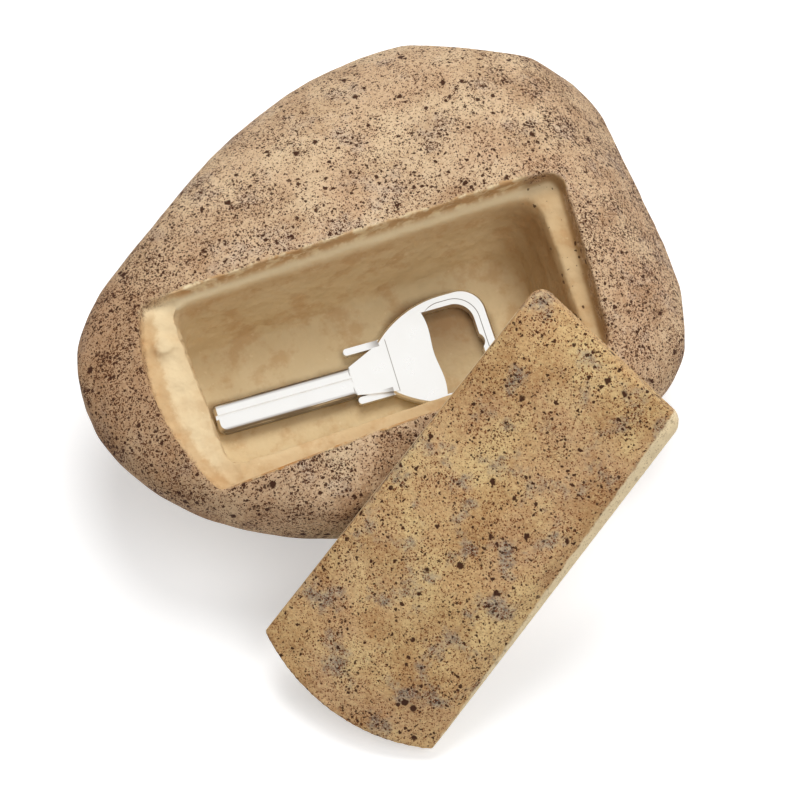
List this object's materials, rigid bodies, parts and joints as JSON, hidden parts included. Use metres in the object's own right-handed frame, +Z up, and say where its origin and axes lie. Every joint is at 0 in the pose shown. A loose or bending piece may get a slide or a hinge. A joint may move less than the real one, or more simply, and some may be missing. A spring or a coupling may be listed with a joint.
{
  "type": "hide-a-key rock",
  "caption": "Hollow imitation stone lying on its back, its lid lifted off and leaned on it, with a key in the pocket.",
  "frame": {"origin": "on the surface the stone rests on, inside the flat of its back", "axes": "+X along the pocket towards the key's bow, +Y away from the leaning lid, +Z up out of the pocket"},
  "size_m": [0.1101, 0.1254, 0.0587],
  "materials": {
    "cast_stone": "matte cast resin, speckled tan",
    "key_nickel": "bright nickel plate"
  },
  "bodies": {
    "stone": {"rock_body": "cast_stone"},
    "lid": {"lid": "cast_stone"},
    "key": {"key": "key_nickel"}
  },
  "joints": [
    {"name": "lid_lift", "type": "slide", "parent": "stone", "child": "lid", "axis": [-0.336, -0.5979, 0.7278], "range_m": [0, 0.07]},
    {"name": "key_lift", "type": "slide", "parent": "stone", "child": "key", "axis": [0, 0, 1], "range_m": [0, 0.06]}
  ]
}
